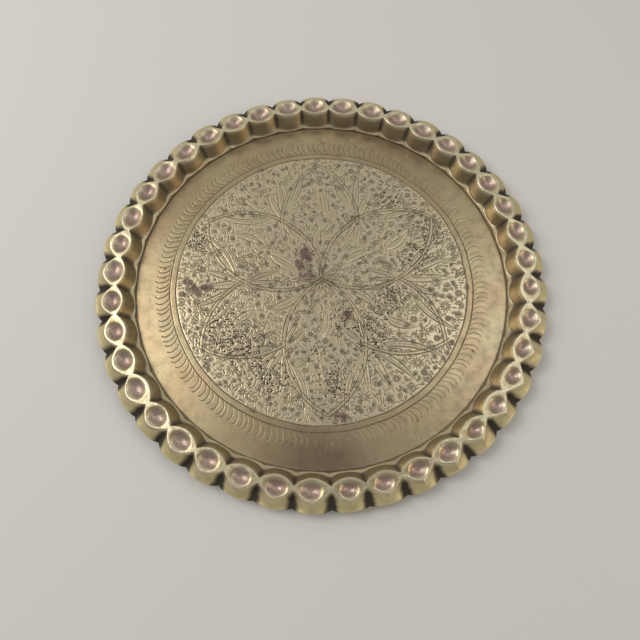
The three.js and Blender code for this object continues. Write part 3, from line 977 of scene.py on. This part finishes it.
def aged_rim():
    """Raised sheet brass: pale ridges (wear, painted highlight), mauve bowls, grooves with grime
    and painted shade.
    """
    material, tree = new_material("aged_raised_brass")
    place_on = add(tree, PLACE, {}, "Object")
    bowl, groove, part = (
        add(tree, ATTRIBUTE, {}, "Fac", attribute_name=name) for name in ("bowl", "groove", "part")
    )
    broad, patchy, grain = (
        add(
            tree, NOISE,
            {"Vector": place_on, "Scale": 1 / (size * MM), "Detail": fine, "Roughness": r},
        )
        for size, fine, r in ((45, 3, 0.55), (9, 5, 0.62), (1.5, 3, 0.55))
    )
    # Each bowl keeps a mauve film with a ragged edge.
    depth = add(tree, MATH, {0: bowl, 1: 0.17}, **LESS)
    depth = add(tree, MATH, {0: patchy, 1: 0.35, 2: depth}, **SCALED)
    in_bowl = add(tree, STEP, {0: depth, 1: 0.12, 2: 0.42}, **SMOOTH)
    speckled = add(tree, STEP, {0: grain, 1: 0.4, 2: 0.7}, **SMOOTH)
    mauve = add(tree, MIX, {0: speckled, 6: "#cbb3a8", 7: "#9b857e"}, **COLOUR)
    # "part" counts along the sheet: the wall is from 1 to 2, the dish to 3, the skirt to 4.
    above_foot = add(tree, STEP, {0: part, 1: 0.7, 2: 1.0}, **SMOOTH)
    below_ridge = add(tree, STEP, {0: part, 1: 2.0, 2: 1.9}, **SMOOTH)
    on_wall = add(tree, MATH, {0: above_foot, 1: below_ridge}, **TIMES)
    past_inner = add(tree, STEP, {0: part, 1: 1.95, 2: 2.05}, **SMOOTH)
    before_outer = add(tree, STEP, {0: part, 1: 3.05, 2: 2.95}, **SMOOTH)
    on_dish = add(tree, MATH, {0: past_inner, 1: before_outer}, **TIMES)
    on_skirt = add(tree, STEP, {0: part, 1: 3.05, 2: 3.4}, **SMOOTH)
    # Dark colour: grime in the creases of the wall; along the foot, grime and a painted shade of
    # the gap under the foot's edge; in each notch, a painted shade standing for the dark that the
    # notch's facet reflects. A notch is a wedge, narrow at the neck and wider towards the lip, with
    # a ragged edge.
    creased = add(tree, STEP, {0: groove, 1: 0.72, 2: 1.0}, **SMOOTH)
    in_crease = add(tree, MATH, {0: creased, 1: on_wall}, **TIMES)
    foot_grime_and_shade = add(tree, STEP, {0: part, 1: 0.3, 2: 0.05}, **SMOOTH)
    wedge = add(tree, MATH, {0: part, 1: 0.13, 2: -0.5}, **SCALED)
    wedge = add(tree, MATH, {0: patchy, 1: 0.4, 2: wedge}, **SCALED)
    wedge = add(tree, MATH, {0: groove, 1: wedge}, **PLUS)
    shaded_notch = add(tree, STEP, {0: wedge, 1: 0.72, 2: 1.04}, **SMOOTH)
    notch_shade = add(tree, MATH, {0: shaded_notch, 1: on_skirt}, **TIMES)
    grime_and_shade = add(tree, MATH, {0: in_crease, 1: foot_grime_and_shade}, **LARGER)
    uneven = add(tree, MATH, {0: patchy, 1: 0.5, 2: 0.55}, **SCALED)
    grime_and_shade = add(tree, MATH, {0: grime_and_shade, 1: uneven}, **TIMES)
    grime_and_shade = add(tree, MATH, {0: grime_and_shade, 1: notch_shade}, **LARGER)
    # The two ridges, the necks, the lip and patches of the skirt are made pale: partly wear from
    # handling, partly a painted highlight standing for the bright reflection off the rounded
    # ridges.
    towards_neck = add(tree, STEP, {0: groove, 1: 0.6, 2: 0.88}, **SMOOTH)
    wear_and_highlight = add(tree, MATH, {0: towards_neck, 1: on_dish}, **TIMES)
    for edge, faded, full in ((2.0, 0.3, 0.07), (3.0, 0.3, 0.07), (4.05, 0.3, 0.1)):
        away = add(tree, MATH, {0: part, 1: edge}, **LESS)
        away = add(tree, MATH, {0: away}, **SIZE)
        at_edge = add(tree, STEP, {0: away, 1: faded, 2: full}, **SMOOTH)
        wear_and_highlight = add(tree, MATH, {0: wear_and_highlight, 1: at_edge}, **LARGER)
    mottle = add(tree, STEP, {0: patchy, 1: 0.4, 2: 0.62}, **SMOOTH)
    mottle = add(tree, MATH, {0: mottle, 1: 0.45, 2: 0.5}, **SCALED)
    mottle = add(tree, MATH, {0: mottle, 1: on_skirt}, **TIMES)
    wear_and_highlight = add(tree, MATH, {0: wear_and_highlight, 1: mottle}, **LARGER)
    pale = add(tree, MIX, {0: on_skirt, 6: "#eee4c4", 7: "#e9dba6"}, **COLOUR)
    pinker = add(tree, STEP, {0: broad, 1: 0.36, 2: 0.64}, **SMOOTH)
    darker = add(tree, STEP, {0: patchy, 1: 0.45, 2: 0.75}, **SMOOTH)
    colour = add(tree, MIX, {0: pinker, 6: "#d3c59a", 7: "#ccb792"}, **COLOUR)
    # Each film over the ones before: where it lies, how strong it is, and its colour. The pale film
    # is partly wear, partly painted highlight; the near-black one is partly grime, partly painted
    # shade.
    for share, strength, film in (
        (darker, 0.5, "#8e7d5e"), (in_bowl, 0.9, mauve), (on_wall, 0.6, "#a89e90"),
        (wear_and_highlight, 0.75, pale), (grime_and_shade, 0.95, "#1a1210"),
    ):
        share = add(tree, MATH, {0: share, 1: strength}, **TIMES)
        colour = add(tree, MIX, {0: share, 6: colour, 7: film}, **COLOUR)
    rough = add(tree, MATH, {0: in_bowl, 1: 0.08, 2: 0.24}, **SCALED)
    for share, more in ((patchy, 0.22), (grime_and_shade, 0.3), (on_skirt, 0.14)):
        rough = add(tree, MATH, {0: share, 1: more, 2: rough}, **SCALED)
    skirt_wear_and_highlight = add(tree, MATH, {0: on_skirt, 1: wear_and_highlight}, **TIMES)
    bright = add(tree, MATH, {0: in_bowl, 1: -0.15, 2: 0.95}, **SCALED)
    for share, less in ((grime_and_shade, -0.7), (skirt_wear_and_highlight, -0.45)):
        bright = add(tree, MATH, {0: share, 1: less, 2: bright}, **SCALED)
    bump = add(tree, BUMP, {"Height": patchy, "Strength": 0.5, "Distance": 1.2 * MM})
    finish = {"Base Color": colour, "Metallic": bright, "Roughness": rough, "Normal": bump}
    add(tree, SURFACE, {"Surface": add(tree, SHADER, finish)})
    return material


def hanger_brass():
    """Drawn brass wire and cut strip: dull brown-gold, with grime in fine drawing lines."""
    material, tree = new_material("dull_drawn_brass")
    place_on = add(tree, PLACE, {}, "Object")
    patchy, grain = (
        add(
            tree, NOISE,
            {"Vector": place_on, "Scale": 1 / (size * MM), "Detail": fine, "Roughness": r},
        )
        for size, fine, r in ((4, 5, 0.6), (0.7, 2, 0.55))
    )
    tarnish = add(tree, STEP, {0: patchy, 1: 0.35, 2: 0.7}, **SMOOTH)
    colour = add(tree, MIX, {0: tarnish, 6: "#bd9d60", 7: "#7c6240"}, **COLOUR)
    specks = add(tree, STEP, {0: grain, 1: 0.5, 2: 0.8}, **SMOOTH)
    specks = add(tree, MATH, {0: specks, 1: 0.4}, **TIMES)
    colour = add(tree, MIX, {0: specks, 6: colour, 7: "#4a3823"}, **COLOUR)
    rough = add(tree, MATH, {0: patchy, 1: 0.25, 2: 0.28}, **SCALED)
    bump = add(tree, BUMP, {"Height": grain, "Strength": 0.3, "Distance": 0.4 * MM})
    finish = {"Base Color": colour, "Metallic": 0.95, "Roughness": rough, "Normal": bump}
    add(tree, SURFACE, {"Surface": add(tree, SHADER, finish)})
    return material


def grey_solder():
    """Old soft solder: dull lead grey, rounded where it ran, pitted a little where it cooled."""
    material, tree = new_material("old_soft_solder")
    place_on = add(tree, PLACE, {}, "Object")
    cooled = {"Vector": place_on, "Scale": 1 / (2.5 * MM), "Detail": 4, "Roughness": 0.6}
    patchy = add(tree, NOISE, cooled)
    oxide = add(tree, STEP, {0: patchy, 1: 0.35, 2: 0.7}, **SMOOTH)
    colour = add(tree, MIX, {0: oxide, 6: "#a19d92", 7: "#6c665b"}, **COLOUR)
    rough = add(tree, MATH, {0: patchy, 1: 0.3, 2: 0.34}, **SCALED)
    bump = add(tree, BUMP, {"Height": patchy, "Strength": 0.4, "Distance": 0.4 * MM})
    finish = {"Base Color": colour, "Metallic": 0.9, "Roughness": rough, "Normal": bump}
    add(tree, SURFACE, {"Surface": add(tree, SHADER, finish)})
    return material


disc_brass, rim_brass, wire_brass = aged_disc(), aged_rim(), hanger_brass()
solder_grey = grey_solder()
fluted_rim(rim_brass)
engraved = engraved_plan()
for quarter in range(4):
    disc_quarter(quarter, engraved, disc_brass)
disc_edge(disc_brass)
strap(wire_brass)
for index, side in enumerate((-1, 1)):
    solder(index, side, solder_grey)
ring(wire_brass)

# ------------------------ camera, floor and lights

FLOOR_HALF, FLOOR_GAP = 6, 0.3 * MM  # metres; the gap keeps the floor off the tray's underside

camera_data = bpy.data.cameras.new("camera")
camera_data.lens = 27.92
camera_data.sensor_width = 36
camera = bpy.data.objects.new("camera", camera_data)
camera.location = (-0.014475, -0.269043, 0.604963)
camera.rotation_euler = Euler([math.radians(a) for a in (19.3743, -0.2732, -1.9728)])
bpy.context.scene.collection.objects.link(camera)
bpy.context.scene.camera = camera

floor_bm = bmesh.new()
bmesh.ops.create_grid(floor_bm, x_segments=1, y_segments=1, size=FLOOR_HALF)
floor_mesh = as_mesh(floor_bm, "floor")
floor_mesh.transform(Matrix.Translation((0, 0, -FLOOR_GAP)))
floor = bpy.data.objects.new("floor", floor_mesh)
bpy.context.scene.collection.objects.link(floor)
floor_material, floor_tree = new_material("pale_floor")
floor_paint = add(floor_tree, SHADER, {"Base Color": "#efeeeb", "Roughness": 0.8})
add(floor_tree, SURFACE, {"Surface": floor_paint})
floor_mesh.materials.append(floor_material)


def panel(name, at, size, power, colour):
    """A soft panel light that faces the tray."""
    data = bpy.data.lights.new(name, "AREA")
    data.shape = "RECTANGLE"
    data.size, data.size_y = size
    data.energy = power
    data.color = linear(colour)[:3]
    light = bpy.data.objects.new(name, data)
    light.location = at
    light.rotation_euler = (-Vector(at)).to_track_quat("-Z", "Y").to_euler()
    bpy.context.scene.collection.objects.link(light)


panel("window", (-1.9, 0.45, 1.75), (1.6, 1.4), 20, "#fffdf8")
panel("above_left", (-1.4, 0.6, 2.3), (1.2, 1.4), 8, "#fff4ec")
panel("above_right", (1.2, 0.7, 2.5), (1.0, 1.2), 6, "#ffffff")
panel("far", (0.0, 2.3, 1.9), (2.6, 1.0), 4, "#fffaf2")
panel("low_right", (2.3, -0.8, 1.3), (1.6, 1.2), 11, "#ffecd0")

world = bpy.data.worlds.new("studio")
bpy.context.scene.world = world
world.use_nodes = True
world.node_tree.nodes.clear()
sky = add(world.node_tree, "ShaderNodeBackground", {"Color": "#d6d6d4", "Strength": 0.37})
add(world.node_tree, "ShaderNodeOutputWorld", {"Surface": sky})
bpy.context.scene.view_settings.view_transform = "Standard"
